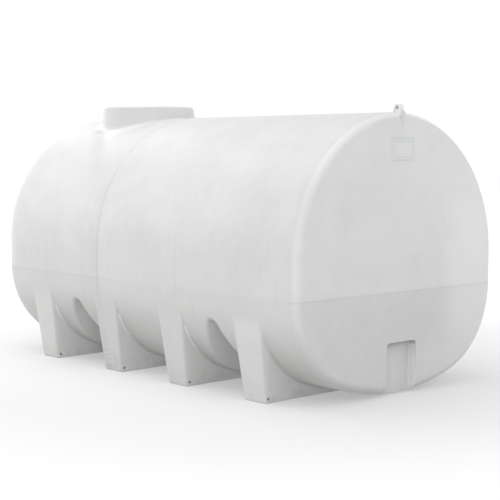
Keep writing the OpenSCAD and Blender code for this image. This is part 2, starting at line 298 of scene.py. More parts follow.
def halfOutline():
    # from the bottom centre up over the far side to the crown
    bottomEnd = math.degrees(tank["bottomAngle"])
    points = arc(0, tank["bottomAxis"], tank["bottom"], runs(0, (bottomEnd, skin["bottomSteps"])))
    points += arc(tank["haunchY"], tank["seam"], tank["haunch"], runs(bottomEnd, *skin["haunchRuns"])[1:])
    justAbove = [(tank["seam"] + rise, 1) for rise in skin["justAbove"]]
    flank = runs(tank["seam"], *justAbove, (tank["crownAxis"], skin["flankSteps"]))[1:]
    points += [(tank["halfWidth"], z, 1, 0) for z in flank]
    points += arc(0, tank["crownAxis"], tank["halfWidth"], runs(90, (180, skin["crownSteps"]))[1:])
    return points


def stationLines():
    # places along X on the straight part of the barrel
    start = tank["rearStart"]
    end = tank["halfLength"] - skin["frontRound"]
    wanted = {start, end}
    for place in legs["places"]:
        wanted |= {place + side * line for side in (-1, 1) for line in skin["legLines"]}
    count = round(skin["archReach"] / skin["archStep"])
    for place in arches["places"]:
        wanted |= {place + i * skin["archStep"] for i in range(-count, count + 1)}
    seamLines = [tank["mainSeam"] + tank["seamWidth"] * t for t in skin["mainSeamLines"]]
    clear = [x for x in wanted if abs(x - tank["mainSeam"]) > skin["mainSeamClear"] * tank["seamWidth"]]
    inOrder = sorted(clear + seamLines)
    kept = [inOrder[0]]
    for x in inOrder[1:]:
        gap = x - kept[-1]
        if gap > skin["widest"]:
            kept += list(np.linspace(kept[-1], x, math.ceil(gap / skin["widest"]) + 1)[1:-1])
        if gap > skin["narrowest"] or x in seamLines:
            kept.append(x)
    return [x for x in kept if start - 1e-9 <= x <= end + 1e-9]


def bump(t):
    # a smooth hump between -1 and 1
    return np.clip(1 - t * t, 0, 1) ** 2


def ease(t):
    # 0 to 1, slow at both ends
    t = np.clip(t, 0, 1)
    return t * t * (3 - 2 * t)


def cornerRoll(end, radius, steps):
    # round an end's corner, from the end to the side: x, inset from the side, and the angle it faces
    return [(math.copysign(abs(end) - radius * (1 - math.sin(a)), end), radius * (1 - math.cos(a)), a)
            for a in np.linspace(math.pi / 2, 0, steps + 1)]


def rearRoll():
    return cornerRoll(-tank["halfLength"], tank["rearRound"], skin["rearRoll"])


def frontRoll():
    return cornerRoll(tank["halfLength"], skin["frontRound"], skin["frontRoll"])[::-1]


def findSurface(x, y, z, dy, dz):
    # how far along each outward ray the body's outermost crossing lies, found coarsely and then by halving
    outer = np.full(x.shape, skin["outermost"])
    inner = np.full(x.shape, np.nan)
    for t in np.arange(skin["outermost"], skin["innermost"], -skin["searchStep"]):
        hit = np.isnan(inner) & (bodyDistance(x, y + t * dy, z + t * dz) < 0)
        inner[hit] = t
        outer[hit] = t + skin["searchStep"]
    inner = np.where(np.isnan(inner), skin["innermost"], inner)
    for _ in range(skin["halvings"]):
        middle = (outer + inner) / 2
        inside = bodyDistance(x, y + middle * dy, z + middle * dz) < 0
        inner = np.where(inside, middle, inner)
        outer = np.where(inside, outer, middle)
    return (outer + inner) / 2


def raisedLines(x, z):
    # the main seam's bead, and the faint band over each leg
    onSide = ease((z - tank["seamFoot"]) / tank["seamFade"])
    rise = tank["seamHeight"] * bump((x - tank["mainSeam"]) / tank["seamWidth"]) * onSide
    upright = ease((z - legs["bandFoot"]) / legs["bandFootFade"])
    upright = upright * ease((legs["bandTop"] - z) / legs["bandTopFade"])
    for place in legs["places"]:
        rise += legs["bandHeight"] * upright * ease((legs["halfFoot"] - np.abs(x - place)) / legs["bandEdge"])
    return rise


def makeSkin():
    half = halfOutline()
    mirrored = [(-y, z, -ny, nz) for y, z, ny, nz in reversed(half[:-1])]
    outline = np.array(half + mirrored)
    straight = stationLines()
    stations = np.array(rearRoll()[:-1] + [(x, 0, 0) for x in straight] + frontRoll()[1:])
    x = np.repeat(stations[:, :1], len(outline), axis=1)
    inset = np.repeat(stations[:, 1:2], len(outline), axis=1)
    y, z, ny, nz = [np.repeat(outline[None, :, k], len(stations), axis=0) for k in range(4)]

    push = -inset
    lower = (inset == 0) & (z < tank["seam"] - skin["seamGap"])
    push[lower] += findSurface(x[lower], y[lower], z[lower], ny[lower], nz[lower])
    push += raisedLines(x, z + push * nz)
    place = np.stack([x, y + push * ny, z + push * nz], axis=2)

    bm = wrapGrid(len(stations), len(outline), place)
    bmesh.ops.remove_doubles(bm, verts=bm.verts, dist=0.00005)
    rims = [e for e in bm.edges if e.is_boundary]
    caps = bmesh.ops.holes_fill(bm, edges=rims, sides=0)["faces"]
    bmesh.ops.inset_individual(bm, faces=caps, thickness=skin["capInset"])
    print("skin", len(bm.verts), "points on", len(stations), "stations")
    return finishPiece(bm, "tankSkin", skin["sharpAngle"])


tankSkin = makeSkin()

# the outlet pocket and the feet's pin holes are cut into the skin
pocket = {
    "halfWidth": high("outlet_pocket").y - tank["wall"],
    "top": high("outlet_pocket").z - tank["wall"] + 0.010,
    "depth": tank["halfLength"] - low("outlet_pocket").x - tank["wall"] - 0.022,
    "under": 0.1,       # the cutter runs on below the ground
    "corner": 0.026,
    "innerCorner": 0.007,
    "rim": 0.006,
    "rimAngle": 50,
    "rimZone": (0.02, 0.2, 0.4),    # the rim's edges lie so far past the back, and within these of y and z
}
pocket["back"] = tank["halfLength"] - pocket["depth"]
pins = {"radius": 0.010, "depth": 0.030, "height": 0.030, "inset": 0.030, "turn": 0.11}


def makeCutter():
    bm = bmesh.new()
    block = bmesh.ops.create_cube(bm, size=1)["verts"]
    size = (2 * pocket["depth"], 2 * pocket["halfWidth"], pocket["top"] + pocket["under"])
    bmesh.ops.scale(bm, verts=block, vec=size)
    bmesh.ops.translate(bm, verts=block, vec=(tank["halfLength"], 0, (pocket["top"] - pocket["under"]) / 2))
    lengthwise = [e for e in bm.edges if all(v.co.z > 0 for v in e.verts)
                  and abs(e.verts[0].co.x - e.verts[1].co.x) > pocket["depth"]]
    roundEdges(bm, lengthwise, pocket["corner"], 6)
    inner = [e for e in bm.edges if all(abs(v.co.x - pocket["back"]) < 0.001 for v in e.verts)
             and not all(v.co.z < 0 for v in e.verts)]
    roundEdges(bm, inner, pocket["innerCorner"], 3)
    # a pin hole at both front corners of each foot, its facets turned a little against the foot's edges
    turned = Matrix.Rotation(math.pi / 2, 4, "Y") @ Matrix.Rotation(pins["turn"], 4, "Z")
    out = legs["reach"] - pins["inset"]
    for place in legs["places"]:
        for side in (-1, 1):
            mouth = (place + legHalfAt(pins["height"]), side * out, pins["height"])
            addDrill(bm, pins["radius"], 2 * pins["depth"], 24, Matrix.Translation(mouth) @ turned)
    return finishPiece(bm, "skinCutter")


def cutSkin(piece):
    cutAway(piece, makeCutter())
    bm = bmesh.new()
    bm.from_mesh(piece.data)
    bmesh.ops.dissolve_degenerate(bm, dist=0.0001, edges=bm.edges)
    pastBack, halfZone, zoneTop = pocket["rimZone"]
    start = pocket["back"] + pastBack
    near = {v for v in bm.verts if v.co.x > start and abs(v.co.y) < halfZone and v.co.z < zoneTop}
    rim = [e for e in bm.edges if near.issuperset(e.verts) and len(e.link_faces) == 2
           and e.calc_face_angle(0) > math.radians(pocket["rimAngle"])]
    roundEdges(bm, rim, pocket["rim"], 3, clamp=True)
    smoothFaces(bm, skin["sharpAngle"])
    bm.to_mesh(piece.data)
    bm.free()
    print("skin cut", len(piece.data.polygons), "faces")


cutSkin(tankSkin)
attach(tankSkin, "root")
shellNodes = ["front_end_upper", "front_end_lower", "rear_end_upper", "rear_end_lower", "front_crown",
              "front_side_near", "front_side_far", "rear_crown", "rear_side_near", "rear_side_far",
              "outlet_pocket", "main_seam", "surge_apex_rear", "surge_apex_front"]
shellNodes += ["surge_wall_%d" % i for i in (1, 2, 3, 4)] + ["saddle_leg_%d" % i for i in (1, 2, 3, 4)]
shellNodes += ["haunch_%s_%d" % (side, i) for side in ("near", "far") for i in range(1, 6)]
shellNodes += ["belly_%d" % i for i in range(1, 6)]
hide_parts(*shellNodes)

# manway: neck with a flared foot, flat deck with a sump, threaded collar and a ribbed lid
manway = {
    "x": middleX("manway_lid"),
    "deck": high("manway_deck").z,
    "deckRadius": high("manway_deck").y + 0.006,
    "deckRound": 0.020,
    "draft": 15,
    "foot": 0.012,
    "footTurn": 262,
    "toe": 0.004,
    "neckWall": 0.030,
    "sumpRadius": 0.270,
    "sumpFloor": low("manway_collar").z,
    "sumpRound": 0.012,
    "sumpLip": 0.008,
    "collarRadius": high("manway_collar").y,
    "collarTop": high("manway_collar").z,
    "collarWall": 0.010,
    "collarRound": 0.003,
    "collarSunk": 0.004,
    "threads": 3,
    "threadFoot": 0.010,
    "threadPitch": 0.011,
    "threadDepth": 0.002,
    "lidRadius": high("manway_lid").y - 0.008,
    "lidTop": high("manway_lid").z,
    "lidFoot": low("manway_lid").z,
    "lidWall": 0.008,
    "lidRound": 0.010,
    "lidGap": 0.001,
    "lidRing": [(0.052, 0.006), (0.110, 0.006), (0.118, 0.002)],        # how far in from the edge, and down
    "lidBoss": [(0.030, 0.002), (0.026, 0.0045), (0.0, 0.0045)],        # radius, and how far down
    "ribs": 24,
    "ribSize": (0.011, 0.009),
    "ribRound": 0.0025,
    "bars": 4,
    "barTurn": 20,
    "barIn": 0.081,
    "barSize": (0.064, 0.020, 0.008),
    "barRound": 0.003,
}


def makeNeck():
    m = manway
    crown = tank["crown"]
    hole = m["collarRadius"] - m["collarWall"]
    floorRound = m["sumpRound"]
    lip = m["sumpLip"]
    deckRound = m["deckRound"]
    profile = [(hole, m["sumpFloor"] - tank["wall"]), (hole, m["sumpFloor"])]
    profile += bend(m["sumpRadius"] - floorRound, m["sumpFloor"] + floorRound, floorRound, -90, 0, 5)
    profile += bend(m["sumpRadius"] + lip, m["deck"] - lip, lip, 180, 90, 5)
    profile += bend(m["deckRadius"] - deckRound, m["deck"] - deckRound, deckRound, 90, m["draft"], 8)
    wallRadius, wallTop = profile[-1]
    footTop = crown + m["foot"]
    slope = math.tan(math.radians(m["draft"]))
    for z in runs(wallTop, (footTop, 4))[1:]:
        profile.append((wallRadius + (wallTop - z) * slope, z))
    toe = profile[-1][0] + m["foot"]
    profile += bend(toe, footTop, m["foot"], 180 + m["draft"], m["footTurn"], 6)[1:]
    profile += [(toe + m["toe"], crown - tank["wall"]), (m["sumpRadius"], m["sumpFloor"] - m["neckWall"])]
    bm = turn(profile, m["x"], 128)
    bmesh.ops.holes_fill(bm, edges=[e for e in bm.edges if e.is_boundary], sides=0)
    inside = m["sumpRadius"] + m["neckWall"]
    for vert in bm.verts:
        # the foot follows the round crown, and the deck stays level
        if vert.co.z < wallTop and math.hypot(vert.co.x - m["x"], vert.co.y) > inside:
            drop = crown - tank["crownAxis"] - math.sqrt(tank["halfWidth"] ** 2 - vert.co.y ** 2)
            vert.co.z -= drop * min(1, (wallTop - vert.co.z) / (wallTop - crown))
    return finishPiece(bm, "manwayNeck", 45)


def makeCollar():
    m = manway
    outer = m["collarRadius"]
    core = outer - m["threadDepth"]
    foot = m["sumpFloor"] - m["collarSunk"]
    edge = m["collarRound"]
    profile = [(outer - m["collarWall"], foot), (core, foot)]
    for thread in range(m["threads"]):
        z = m["sumpFloor"] + m["threadFoot"] + m["threadPitch"] * thread
        profile += [(r, z + m["threadDepth"] * i) for i, r in enumerate((core, outer, outer, core))]
    profile += bend(outer - edge - 0.001, m["collarTop"] - edge, edge, 0, 90, 4)
    profile += bend(outer - m["collarWall"] + edge, m["collarTop"] - edge, edge, 90, 180, 4)
    profile.append(profile[0])
    return finishPiece(turn(profile, m["x"], 96), "manwayCollar")


def addBlock(bm, degrees, out, z, size, edge):
    # a small block with rounded edges, set at an angle round the manway's axis
    place = (Matrix.Translation((manway["x"], 0, 0)) @ Matrix.Rotation(math.radians(degrees), 4, "Z")
             @ Matrix.Translation((out, 0, z)) @ Matrix.Diagonal((*size, 1)))
    block = bmesh.ops.create_cube(bm, size=1, matrix=place)["verts"]
    roundEdges(bm, list({e for v in block for e in v.link_edges}), edge, 2)


def makeLid():
    m = manway
    outer = m["lidRadius"]
    inner = outer - m["lidWall"]
    top = m["lidTop"]
    foot = m["lidFoot"] + m["lidGap"]
    profile = [(0.0, top - m["lidWall"]), (inner, top - m["lidWall"])]
    profile += [(inner, foot), (outer - m["lidGap"], foot)]
    profile += bend(outer - m["lidRound"], top - m["lidRound"], m["lidRound"], 0, 90, 6)
    profile += bend(outer - 0.040, top - 0.002, 0.002, 80, 100, 2)
    profile += [(outer - inwards, top - down) for inwards, down in m["lidRing"]]
    profile += [(r, top - down) for r, down in m["lidBoss"]]
    bm = turn(profile, m["x"], 144)
    # grip ribs down the skirt, sunk a little into it, and turning bars across the ring
    ribLength = top - m["lidFoot"] - 0.010
    ribMiddle = m["lidFoot"] + 0.003 + ribLength / 2
    for i in range(m["ribs"]):
        addBlock(bm, 360 * i / m["ribs"], outer + 0.001, ribMiddle, (*m["ribSize"], ribLength), m["ribRound"])
    for i in range(m["bars"]):
        addBlock(bm, 360 * i / m["bars"] + m["barTurn"], outer - m["barIn"], top - 0.004, m["barSize"],
                 m["barRound"])
    return finishPiece(bm, "manwayLid")


manwayNeck = makeNeck()
manwayCollar = makeCollar()
manwayLid = makeLid()
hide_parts("manway_neck", "manway_deck")
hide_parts("manway_collar")
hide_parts("manway_lid")
for piece, slot in ((manwayNeck, "shell"), (manwayCollar, "shell"), (manwayLid, "lid")):
    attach(piece, "root")
print("manway made")

# lifting lugs: an eye that swells into its foot, with a heel down the end of the tank
lug = {
    "eye": 0.030,
    "hole": 0.012,
    "drillLength": 0.1,
    "thick": 0.034,
    "edge": 0.005,
    "flareFrom": 0.006,
    "flare": 0.030,
    "spread": 0.7,
    "taper": 1.2,
    # the outline below the eye, down the back to the foot and from the heel up again
    "back": [(-0.034, -0.018), (-0.042, -0.030), (-0.056, -0.040)],
    "backFoot": -0.062,
    "heelWidth": 0.012,
    "instep": [(0.000, -0.050), (-0.005, -0.034)],
    "chin": (0.034, -0.016),
    # how far the eye stands back from the end, how deep the foot goes, and how far out and down the heel does
    "front": {"back": 0.051, "foot": 0.050, "heel": (0.050, 0.128)},
    "rear": {"back": 0.035, "foot": 0.046, "heel": (0.032, 0.075)},
}


def makeLug(name, node, heading, shape):
    # heading is 1 where the heel points to +X, -1 where it points to -X
    bm = bmesh.new()
    end = high(node).x if heading > 0 else low(node).x
    holeX = end - heading * shape["back"]
    holeZ = high(node).z - lug["eye"]
    heelOut, heelDown = shape["heel"]
    outline = bend(0, 0, lug["eye"], -10, 190, 20) + lug["back"]
    outline.append((lug["backFoot"], -shape["foot"]))
    outline += [(heelOut - lug["heelWidth"], -heelDown), (heelOut, -heelDown)]
    outline += [(heelOut + u, w) for u, w in lug["instep"]] + [lug["chin"]]
    verts = [bm.verts.new((holeX + heading * u, -lug["thick"] / 2, holeZ + w)) for u, w in outline]
    face = bm.faces.new(verts)
    body = bmesh.ops.extrude_face_region(bm, geom=[face])["geom"]
    farSide = [v for v in body if isinstance(v, bmesh.types.BMVert)]
    bmesh.ops.translate(bm, verts=farSide, vec=(0, lug["thick"], 0))
    bmesh.ops.recalc_face_normals(bm, faces=bm.faces)
    rim = [e for e in bm.edges if len(e.link_faces) == 2 and e.calc_face_angle(0) > math.radians(60)
           and abs(e.verts[0].co.y - e.verts[1].co.y) < 0.001]
    roundEdges(bm, rim, lug["edge"], 3)
    piece = finishPiece(bm, name)
    drill = bmesh.new()
    across = Matrix.Translation((holeX, 0, holeZ)) @ Matrix.Rotation(math.pi / 2, 4, "X")
    addDrill(drill, lug["hole"], lug["drillLength"], 40, across)
    cutAway(piece, finishPiece(drill, "lugDrill"))
    below = holeZ - lug["eye"]
    for vert in piece.data.vertices:
        # the plate thickens where it meets the skin, and its heel narrows to the bottom
        swell = max(0, min(1, (holeZ - lug["flareFrom"] - vert.co.z) / lug["flare"]))
        narrow = max(0, min(1, (below - vert.co.z) / (heelDown - lug["eye"])))
        vert.co.y *= 1 + lug["spread"] * swell * swell - lug["taper"] * narrow
    return piece


frontLug = makeLug("frontLug", "lifting_lug_front", 1, lug["front"])
rearLug = makeLug("rearLug", "lifting_lug_rear", -1, lug["rear"])
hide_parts("lifting_lug_front")
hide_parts("lifting_lug_rear")
for piece in (frontLug, rearLug):
    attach(piece, "root")
print("lugs made")

# moulded lines: rounded beads laid along a path on the skin
lines = {
    "humps": 10,        # steps across a bead
    "sunk": 0.6,        # of its height
    "endSteps": 4,      # a bead runs out at its ends
    "endHeight": 0.4,
    "joint": legs["places"][1] + legs["halfFoot"],      # the level seam is only a trace from here forwards
    "height": 0.0024,
    "width": 0.016,
    "trace": 0.0006,
    "turn": 0.011,
    "tick": 0.050,
    "weldWidth": 0.024,
    "weldHeight": 0.005,
    "creaseLevels": [0.095, 0.130, 0.165],
    "creaseInset": 0.010,
    "creaseLength": 0.130,
    "creaseShorter": 0.02,
    "creaseSlope": 0.03,
    "creaseWidth": 0.018,
    "creaseHeight": 0.0032,
    "labelInsets": [0.004, 0.016, 0.032],
    "labelCorner": 0.006,
    "labelWidth": 0.007,
    "labelHeight": 0.0019,
}


def bead(bm, path, outward, width, height, closed):
    # path and outward are lists of points and directions; the bead's section is a low hump
    count = len(path)
    humps = lines["humps"]
    place = np.zeros((count + (1 if closed else 0), humps + 1, 3))
    for i in range(place.shape[0]):
        here = Vector(path[i % count])
        ahead = Vector(path[(i + 1) % count] if closed or i + 1 < count else path[i])
        behind = Vector(path[(i - 1) % count] if closed or i > 0 else path[i])
        up = Vector(outward[i % count]).normalized()
        across = (ahead - behind).normalized().cross(up).normalized()
        fade = min(i, count - 1 - i) / lines["endSteps"]
        taper = 1 if closed or fade > 1 else lines["endHeight"] + (1 - lines["endHeight"]) * fade
        for j in range(humps + 1):
            # the last column closes the section underneath
            a = math.pi * j / (humps - 1)
            side = math.cos(a) if j < humps else 1
            rise = math.sin(a) ** 2 if j < humps else 0
            lift = (1 + lines["sunk"]) * rise * taper - lines["sunk"]
            place[i, j] = here + across * side * width / 2 + up * height * lift
    grid = wrapGrid(place.shape[0], humps + 1, place)
    bmesh.ops.remove_doubles(grid, verts=grid.verts, dist=0.00001)
    ends = [e for e in grid.edges if e.is_boundary]
    if ends:
        bmesh.ops.holes_fill(grid, edges=ends, sides=0)
    mesh = bpy.data.meshes.new("beadPart")
    grid.to_mesh(mesh)
    grid.free()
    bm.from_mesh(mesh)
    bpy.data.meshes.remove(mesh)


def cornerPath(roll, side, level):
    # points and outward directions round one corner, side is -1 near and 1 far
    path = [(x, side * (tank["halfWidth"] - inset), level) for x, inset, a in roll]
    ahead = math.copysign(1, roll[0][0])
    return path, [(ahead * math.sin(a), side * math.cos(a), 0) for x, inset, a in roll]


def layBead(bm, parts, width, height):
    bead(bm, [p for path, away in parts for p in path], [n for path, away in parts for n in away],
         width, height, False)


def cornerTick(start, side, level):
    # the seam turns up a little past each front corner
    path = [(start, side * tank["halfWidth"], level + lines["tick"])]
    for a in np.linspace(math.pi / 2, 0, 5):
        back = lines["turn"] * math.sin(a)
        path.append((start - back, side * tank["halfWidth"], level + lines["turn"] * (1 - math.cos(a))))
    return path, [(0, side, 0)] * len(path)


def makeSeam():
    bm = bmesh.new()
    level = tank["seam"]
    joint = lines["joint"]
    front = frontRoll()
    rear = rearRoll()
    start = front[0][0]
    # round the rear as far as the second leg's band
    near = ([(joint, -tank["halfWidth"], level)], [(0, -1, 0)])
    far = ([(joint, tank["halfWidth"], level)], [(0, 1, 0)])
    layBead(bm, [near, cornerPath(rear[::-1], -1, level), cornerPath(rear, 1, level), far],
            lines["width"], lines["height"])
    # round the front, from one tick to the other
    nearTick = cornerTick(start, -1, level)
    farPath, farOut = cornerTick(start, 1, level)
    farTick = (farPath[::-1], farOut)
    layBead(bm, [nearTick, cornerPath(front, -1, level), cornerPath(front[::-1], 1, level), farTick],
            lines["width"], lines["height"])
    # hardly more than a trace between the two
    for side in (-1, 1):
        ends = [(joint, side * tank["halfWidth"], level), (start, side * tank["halfWidth"], level)]
        bead(bm, ends, [(0, side, 0)] * 2, lines["width"], lines["trace"], False)
    return finishPiece(bm, "partingSeam", 60)


def framePath(box, inset, corner):
    near, far = box
    path = []
    for y, z, start in ((far.y, far.z, 0), (near.y, far.z, 90), (near.y, near.z, 180), (far.y, near.z, 270)):
        middleY = y - math.copysign(inset + corner, y)
        middleZ = z - math.copysign(inset + corner, z - (near.z + far.z) / 2)
        for a in np.linspace(math.radians(start), math.radians(start + 90), 5):
            path.append((tank["halfLength"], middleY + corner * math.cos(a), middleZ + corner * math.sin(a)))
    return path


def makeLabelFrame():
    bm = bmesh.new()
    for inset in lines["labelInsets"]:
        path = framePath(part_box("label_frame"), inset, lines["labelCorner"])
        bead(bm, path, [(1, 0, 0)] * len(path), lines["labelWidth"], lines["labelHeight"], True)
    return finishPiece(bm, "labelFrame", 60)


def makeWelds():
    # the rounded line where each leg's long face leaves the belly, from one side under to the other
    bm = bmesh.new()
    half = [p for p in halfOutline() if p[1] < legs["weldTop"]]
    outline = half[:0:-1] + [(-y, z, -ny, nz) for y, z, ny, nz in half]
    rise = legs["fillet"] * (math.sqrt(2) - 1)
    for place in legs["places"]:
        for side in (-1, 1):
            path = []
            away = []
            for y, z, ny, nz in outline:
                up = Vector((side, ny, nz)).normalized()
                path.append(Vector((place + side * legHalfAt(z), y, z)) + up * rise)
                away.append(up)
            bead(bm, path, away, lines["weldWidth"], lines["weldHeight"], False)
    return finishPiece(bm, "legWelds", 60)


def makeCreases():
    # shrink creases across the foot of the second leg, each shorter than the one below
    bm = bmesh.new()
    start = legs["places"][1] - legs["halfFoot"] + lines["creaseInset"]
    for i, level in enumerate(lines["creaseLevels"]):
        y = -legReachAt(level)
        length = lines["creaseLength"] - lines["creaseShorter"] * i
        path = [(start + t, y, level + lines["creaseSlope"] * t) for t in np.linspace(0, length, 14)]
        bead(bm, path, [(0, -1, 0)] * len(path), lines["creaseWidth"], lines["creaseHeight"], False)
    return finishPiece(bm, "footCreases", 60)


partingSeam = makeSeam()
labelFrame = makeLabelFrame()
legWelds = makeWelds()
footCreases = makeCreases()
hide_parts("parting_seam")
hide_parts("label_frame")
for piece in (partingSeam, labelFrame, legWelds, footCreases):
    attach(piece, "root")
print("moulded lines made")

# finishes: the patterns on the tank read object coordinates

class Wire:
    # wraps a node's output, so sums on it add maths nodes
    def __init__(self, finish, socket):
        self.finish = finish
        self.socket = socket

    def maths(self, operation, a, b=None):
        sockets = {0: a} if b is None else {0: a, 1: b}
        return self.finish.node("ShaderNodeMath", {"operation": operation}, sockets)

    def __add__(self, other):
        return self.maths("ADD", self, other)

    def __sub__(self, other):
        return self.maths("SUBTRACT", self, other)

    def __rsub__(self, other):
        return self.maths("SUBTRACT", other, self)

    def __mul__(self, other):
        return self.maths("MULTIPLY", self, other)

    def __abs__(self):
        return self.maths("ABSOLUTE", self)

    __radd__ = __add__
    __rmul__ = __mul__


class Finish:
    # the nodes of one material, or of the room round the tank
    def __init__(self, holder, coordinates="Object"):
        holder.use_nodes = True
        self.holder = holder
        self.tree = holder.node_tree
        self.tree.nodes.clear()
        self.here = self.node("ShaderNodeTexCoord", {}, {}, coordinates)
        self.x, self.y, self.z = [self.part(self.here, axis) for axis in "XYZ"]

    def node(self, kind, settings, sockets, output=0):
        node = self.tree.nodes.new(kind)
        for key, value in settings.items():
            setattr(node, key, value)
        for key, value in sockets.items():
            if isinstance(value, Wire):
                self.tree.links.new(value.socket, node.inputs[key])
            else:
                node.inputs[key].default_value = value
        return Wire(self, node.outputs[output]) if node.outputs else node

    def part(self, vector, axis):
        return self.node("ShaderNodeSeparateXYZ", {}, {0: vector}, axis)

    def noise(self, scale, detail=2.0, roughness=0.5, stretch=(1, 1, 1)):
        where = self.node("ShaderNodeMapping", {}, {"Vector": self.here, "Scale": stretch})
        values = {"Vector": where, "Scale": scale, "Detail": detail, "Roughness": roughness}
        return self.node("ShaderNodeTexNoise", {}, values)

    def ramp(self, value, start, end):
        # 0 at start, 1 at end, eased at both
        return self.node("ShaderNodeMapRange", {"interpolation_type": "SMOOTHSTEP"},
                         {"Value": value, "From Min": start, "From Max": end, "To Min": 0.0, "To Max": 1.0})

    def line(self, value, centre, half, soft):
        # 1 within half of the centre, fading to 0 over soft
        return self.ramp(abs(value - centre), half + soft, half)

    def tint(self, mask, colourA, colourB):
        # colourA where the mask is 0, colourB where it is 1
        return self.node("ShaderNodeMix", {"data_type": "RGBA"}, {0: mask, 6: colourA, 7: colourB}, 2)

    def lay(self, mask, colour):
        # lays a colour over the ones before it
        self.colour = self.tint(mask, self.colour, colour)

    def surface(self, constants, colour, roughness, height):
        normal = self.node("ShaderNodeBump", {}, {"Strength": 1.0, "Distance": 1.0, "Height": height})
        shader = self.node("ShaderNodeBsdfPrincipled", {},
                           {"Base Color": colour, "Roughness": roughness, "Normal": normal, **constants})
        self.node("ShaderNodeOutputMaterial", {}, {"Surface": shader})
        return self.holder


shellFinish = {
    "white": (0.672, 0.676, 0.670, 1),
    "cloud": (0.630, 0.634, 0.630, 1),
    "shade": (0.440, 0.442, 0.440, 1),
    "paintedLight": (0.850, 0.852, 0.848, 1),
    "paintedShade": (0.470, 0.468, 0.460, 1),
    "dirt": (0.400, 0.375, 0.335, 1),
    "roughness": 0.42,
    "peel": 0.00007,
    "dimples": 0.0005,
    "waves": 0.006,
    "wrinkle": 0.0096,
    "streaks": 0.10,
    # painted shade: below the seam, more of it on the front end and the legs, most of it underneath
    "shadeBelowSeam": 0.13,
    "shadeEnd": 0.17,
    "shadeLegs": 0.17,
    "shadeUnder": 0.58,
    "shadeHaunches": 0.11,
    "shadeGround": 0.12,
    "shadeRear": 0.14,
    # marks, each as a share of the shade colour or of painted light
    "dullMiddle": 0.07,
    "paleSide": 0.22,
    "frontEdge": 0.42,
    "frontEdgeTop": 0.40,
    "rearEdge": 0.50,
    "rearmostLeg": 0.10,
    "foremostLeg": 0.17,
    "innerSides": 0.14,
    "neckAcross": (1.55, 2.04),     # level, from the neck's near left to its far right
    "neckDull": 0.29,
    "neckFar": 0.37,
    "neckNear": 0.8,
    "deckEdge": 0.6,
    "footPale": 0.40,
    "footShade": 0.38,
    "smudgeBehind": 0.66,
    "smudgeLean": 1.28,
    "smudge": 0.40,
    "trail": 0.42,
    "pocketWall": 0.8,
    "pocketCorner": 0.5,
    "pocketRoof": 0.75,
    "pocketUpper": 0.25,
    "pocketNear": 0.35,
    "mainLine": 0.08,
    "mainLineBroken": 0.18,
    "behindSeam": 0.10,
    "levelLine": 0.04,
    "levelLineBroken": 0.12,
    "levelLineRear": 0.05,
    "levelLineTraced": 0.85,
    "grime": 0.35,
    "splash": 0.22,
}


def layPaintedShade(f, onSide, onEnd, under):
    # painted shade darkens the skin more towards the ground
    s = shellFinish
    below = f.ramp(f.z, tank["seam"] + 0.006, tank["seam"] - 0.022)
    endShade = onEnd * f.ramp(f.y, 1.10, 0.10) * (0.55 + f.ramp(f.y, -0.70, 0.00) * 0.45)
    endFade = 1 + onEnd * (f.ramp(f.z, 0.15, 0.60) * 0.45 - 0.30)
    onLegs = f.ramp(abs(f.y), 0.87, 0.92) * f.ramp(f.z, 0.62, 0.48) * f.line(f.x, legs["places"][1], 0.2, 0.9)
    haunches = f.ramp(abs(f.y), 0.50, 0.80)
    nearGround = f.ramp(f.z, 0.32, 0.08)
    rearLow = onSide * f.ramp(f.z, 1.10, 0.75) * f.ramp(f.x, 0.3, -0.5)
    paintedShade = below * ((s["shadeBelowSeam"] + s["shadeEnd"] * endShade) * endFade + s["shadeLegs"] * onLegs)
    paintedShade = paintedShade + under * (s["shadeUnder"] + haunches * s["shadeHaunches"] + nearGround * s["shadeGround"])
    f.lay(paintedShade + rearLow * s["shadeRear"], s["paintedShade"])


def markEnds(f, onEnd, under):
    # the front end has a duller middle of painted shade and a paler far side of painted light, and the rounds
    # of both ends are paler with painted highlights
    s = shellFinish
    dullMiddle = f.line(f.y, 0.0, 0.20, 0.55) * f.ramp(f.z, 0.60, 0.85)
    paleSide = f.line(f.y, 0.78, 0.14, 0.30) * f.line(f.z, 0.85, 0.25, 0.45)
    f.lay(onEnd * dullMiddle * s["dullMiddle"], s["shade"])
    f.lay(onEnd * paleSide * s["paleSide"], s["paintedLight"])
    frontEdge = f.line(f.x, tank["halfLength"] - 0.030, 0.006, 0.030) * (1 - under) * f.ramp(f.z, 0.30, 0.90)
    bright = s["frontEdge"] + f.ramp(f.z, 1.30, 1.75) * s["frontEdgeTop"]
    f.lay(frontEdge * f.ramp(f.y, 0.85, 0.45) * bright, s["paintedLight"])
    rearEdge = f.ramp(f.x, tank["rearStart"] + 0.028, tank["rearStart"] - 0.172) * f.ramp(f.y, -0.40, -0.70)
    rearEdge = rearEdge * f.line(f.z, 1.18, 0.28, 0.30)
    f.lay(rearEdge * s["rearEdge"], s["paintedLight"])


def markLegs(f, facing):
    # painted light pales the outer legs' faces and the legs' inner sides
    s = shellFinish
    rearmost = f.line(f.x, legs["places"][0], 0.10, 0.10) * s["rearmostLeg"]
    foremost = f.line(f.x, legs["places"][3], 0.10, 0.10) * s["foremostLeg"]
    belowSeam = f.ramp(f.z, 0.60, 0.50)
    outerFaces = (rearmost + foremost) * f.ramp(abs(f.y), 0.87, 0.90) * belowSeam
    behindLast = f.ramp(f.x, legs["places"][3], legs["places"][3] - 0.2)
    innerSides = f.ramp(abs(f.part(facing, "X")), 0.75, 0.92) * belowSeam * behindLast
    f.lay(outerFaces + innerSides * s["innerSides"], s["paintedLight"])


